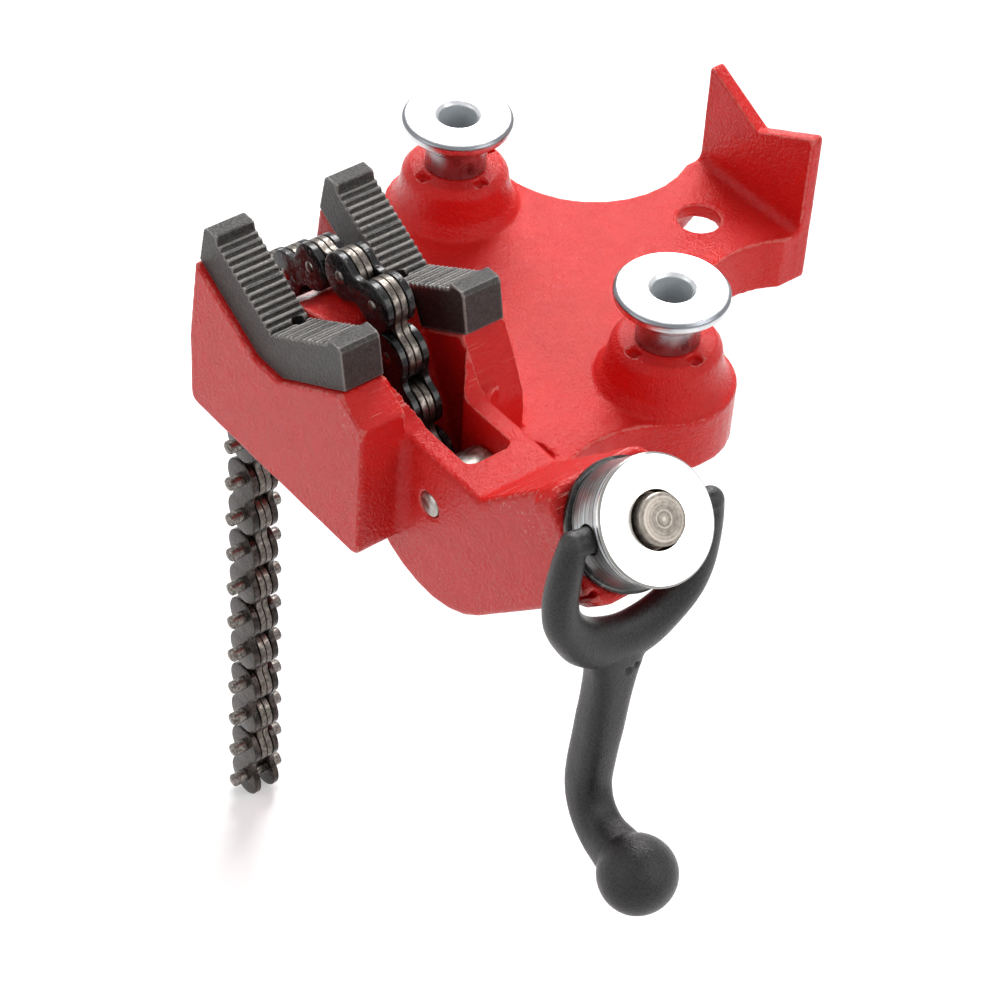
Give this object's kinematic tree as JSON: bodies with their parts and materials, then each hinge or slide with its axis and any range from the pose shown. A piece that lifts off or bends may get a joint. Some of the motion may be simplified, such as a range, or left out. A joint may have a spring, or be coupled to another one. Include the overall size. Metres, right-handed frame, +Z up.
{
  "type": "chain pipe vise",
  "caption": "Bench-mounted chain pipe vise: toothed V jaws, chain drawn by a screw and swinging fork handle, two pipe-bending spools and a V rest.",
  "frame": {"origin": "on the plane of the bench's top, under the middle of the V jaws, in the plane that the chain runs in", "axes": "+Z up from the bench, +Y from the jaws to the V pipe rest over the bench, +X towards the screw and its handle"},
  "size_m": [0.2915, 0.2342, 0.345],
  "materials": {
    "red_enamel": "glossy enamel over sand-cast iron",
    "forged_jaw_steel": "dark forged, bright worn caps and tooth crests",
    "zinc_plate": "bright turned zinc plate",
    "bare_steel": "turned bare steel",
    "oiled_black_plate": "black oiled",
    "brown_steel_plate": "bare brownish steel",
    "black_forging": "black oxide over a forging",
    "black_screw": "black oxide"
  },
  "bodies": {
    "vise": {"vise_base": "red_enamel", "front_jaw": "forged_jaw_steel", "rear_jaw": "forged_jaw_steel", "front_jaw_screw": "black_screw", "rear_jaw_screw": "black_screw", "left_bender_spool": "zinc_plate", "right_bender_spool": "zinc_plate", "cross_pin": "bare_steel", "thrust_washer": "bare_steel"},
    "roller": {"chain_roller": "bare_steel"},
    "nut": {"drive_nut": "zinc_plate"},
    "handle": {"handle": "black_forging"},
    "screw": {"chain_screw": "bare_steel"},
    "link_01": {"chain_link_01": "oiled_black_plate"},
    "link_02": {"chain_link_02": "brown_steel_plate"},
    "link_03": {"chain_link_03": "oiled_black_plate"},
    "link_04": {"chain_link_04": "brown_steel_plate"},
    "link_05": {"chain_link_05": "oiled_black_plate"},
    "link_06": {"chain_link_06": "brown_steel_plate"},
    "link_07": {"chain_link_07": "oiled_black_plate"},
    "link_08": {"chain_link_08": "brown_steel_plate"},
    "link_09": {"chain_link_09": "oiled_black_plate"},
    "link_10": {"chain_link_10": "brown_steel_plate"},
    "link_11": {"chain_link_11": "oiled_black_plate"},
    "link_12": {"chain_link_12": "brown_steel_plate"},
    "link_13": {"chain_link_13": "oiled_black_plate"},
    "link_14": {"chain_link_14": "brown_steel_plate"},
    "link_15": {"chain_link_15": "oiled_black_plate"},
    "link_16": {"chain_link_16": "brown_steel_plate"},
    "link_17": {"chain_link_17": "oiled_black_plate"},
    "link_18": {"chain_link_18": "brown_steel_plate"},
    "link_19": {"chain_link_19": "oiled_black_plate"},
    "link_20": {"chain_link_20": "brown_steel_plate"},
    "link_21": {"chain_link_21": "oiled_black_plate"},
    "link_22": {"chain_link_22": "brown_steel_plate"},
    "link_23": {"chain_link_23": "oiled_black_plate"},
    "link_24": {"chain_link_24": "brown_steel_plate"},
    "link_25": {"chain_link_25": "oiled_black_plate"}
  },
  "joints": [
    {"name": "roller_spin", "type": "hinge", "parent": "vise", "child": "roller", "pos_m": [0.0696, 0, 0.0256], "axis": [0, 1, 0], "continuous": true},
    {"name": "nut_turn", "type": "hinge", "parent": "vise", "child": "nut", "pos_m": [0.15618, 0, 0.07593], "axis": [0.733, 0, 0.6802], "range_deg": [-120, 50]},
    {"name": "handle_swing", "type": "hinge", "parent": "nut", "child": "handle", "pos_m": [0.15618, 0, 0.07593], "axis": [-0.0947, -0.9903, 0.102], "range_deg": [0, 150]},
    {"name": "screw_draw", "type": "slide", "parent": "vise", "child": "screw", "axis": [0.733, 0, 0.6802], "range_m": [-0.0006, 0.00145]},
    {"name": "link_01_pin", "type": "hinge", "parent": "screw", "child": "link_01", "pos_m": [0.09138, 0, 0.0158], "axis": [0, 1, 0], "range_deg": [0, 0.8]},
    {"name": "link_02_pin", "type": "hinge", "parent": "link_01", "child": "link_02", "pos_m": [0.076, 0, 0.00456], "axis": [0, 1, 0], "range_deg": [0, 0.8]},
    {"name": "link_03_pin", "type": "hinge", "parent": "link_02", "child": "link_03", "pos_m": [0.05717, 0, 0.00745], "axis": [0, 1, 0], "range_deg": [0, 0.8]},
    {"name": "link_04_pin", "type": "hinge", "parent": "link_03", "child": "link_04", "pos_m": [0.04628, 0, 0.02307], "axis": [0, 1, 0], "range_deg": [0, 1]},
    {"name": "link_05_pin", "type": "hinge", "parent": "link_04", "child": "link_05", "pos_m": [0.03778, 0, 0.04012], "axis": [0, 1, 0], "range_deg": [0, 25]},
    {"name": "link_06_pin", "type": "hinge", "parent": "link_05", "child": "link_06", "pos_m": [0.02928, 0, 0.05717], "axis": [0, 1, 0], "range_deg": [0, 35]},
    {"name": "link_07_pin", "type": "hinge", "parent": "link_06", "child": "link_07", "pos_m": [0.02047, 0, 0.07406], "axis": [0, 1, 0], "range_deg": [0, 50]},
    {"name": "link_08_pin", "type": "hinge", "parent": "link_07", "child": "link_08", "pos_m": [0.00142, 0, 0.07433], "axis": [0, 1, 0], "range_deg": [0, 30]},
    {"name": "link_09_pin", "type": "hinge", "parent": "link_08", "child": "link_09", "pos_m": [-0.01611, 0, 0.06686], "axis": [0, 1, 0], "range_deg": [0, 25]},
    {"name": "link_10_pin", "type": "hinge", "parent": "link_09", "child": "link_10", "pos_m": [-0.03049, 0, 0.05437], "axis": [0, 1, 0], "range_deg": [0, 20]},
    {"name": "link_11_pin", "type": "hinge", "parent": "link_10", "child": "link_11", "pos_m": [-0.04464, 0, 0.04163], "axis": [0, 1, 0], "range_deg": [0, 15]},
    {"name": "link_12_pin", "type": "hinge", "parent": "link_11", "child": "link_12", "pos_m": [-0.05769, 0, 0.02774], "axis": [0, 1, 0], "range_deg": [0, 25]},
    {"name": "link_13_pin", "type": "hinge", "parent": "link_12", "child": "link_13", "pos_m": [-0.0605, 0, 0.0089], "axis": [0, 1, 0], "range_deg": [0, 8]},
    {"name": "link_14_pin", "type": "hinge", "parent": "link_13", "child": "link_14", "pos_m": [-0.0605, 0, -0.01015], "axis": [0, 1, 0], "range_deg": [-8, 8]},
    {"name": "link_15_pin", "type": "hinge", "parent": "link_14", "child": "link_15", "pos_m": [-0.0605, 0, -0.0292], "axis": [0, 1, 0], "range_deg": [-8, 8]},
    {"name": "link_16_pin", "type": "hinge", "parent": "link_15", "child": "link_16", "pos_m": [-0.0605, 0, -0.04825], "axis": [0, 1, 0], "range_deg": [-8, 8]},
    {"name": "link_17_pin", "type": "hinge", "parent": "link_16", "child": "link_17", "pos_m": [-0.0605, 0, -0.0673], "axis": [0, 1, 0], "range_deg": [-8, 8]},
    {"name": "link_18_pin", "type": "hinge", "parent": "link_17", "child": "link_18", "pos_m": [-0.0605, 0, -0.08635], "axis": [0, 1, 0], "range_deg": [-8, 8]},
    {"name": "link_19_pin", "type": "hinge", "parent": "link_18", "child": "link_19", "pos_m": [-0.0605, 0, -0.1054], "axis": [0, 1, 0], "range_deg": [-8, 8]},
    {"name": "link_20_pin", "type": "hinge", "parent": "link_19", "child": "link_20", "pos_m": [-0.0605, 0, -0.12445], "axis": [0, 1, 0], "range_deg": [-8, 8]},
    {"name": "link_21_pin", "type": "hinge", "parent": "link_20", "child": "link_21", "pos_m": [-0.0605, 0, -0.1435], "axis": [0, 1, 0], "range_deg": [-8, 8]},
    {"name": "link_22_pin", "type": "hinge", "parent": "link_21", "child": "link_22", "pos_m": [-0.0605, 0, -0.16255], "axis": [0, 1, 0], "range_deg": [-8, 8]},
    {"name": "link_23_pin", "type": "hinge", "parent": "link_22", "child": "link_23", "pos_m": [-0.0605, 0, -0.1816], "axis": [0, 1, 0], "range_deg": [-8, 8]},
    {"name": "link_24_pin", "type": "hinge", "parent": "link_23", "child": "link_24", "pos_m": [-0.0605, 0, -0.20065], "axis": [0, 1, 0], "range_deg": [-8, 8]},
    {"name": "link_25_pin", "type": "hinge", "parent": "link_24", "child": "link_25", "pos_m": [-0.0605, 0, -0.2197], "axis": [0, 1, 0], "range_deg": [-8, 8]}
  ],
  "couplings": [
    {"joint": "screw_draw", "follows": "nut_turn", "m_per_rad": -0.00067375}
  ]
}
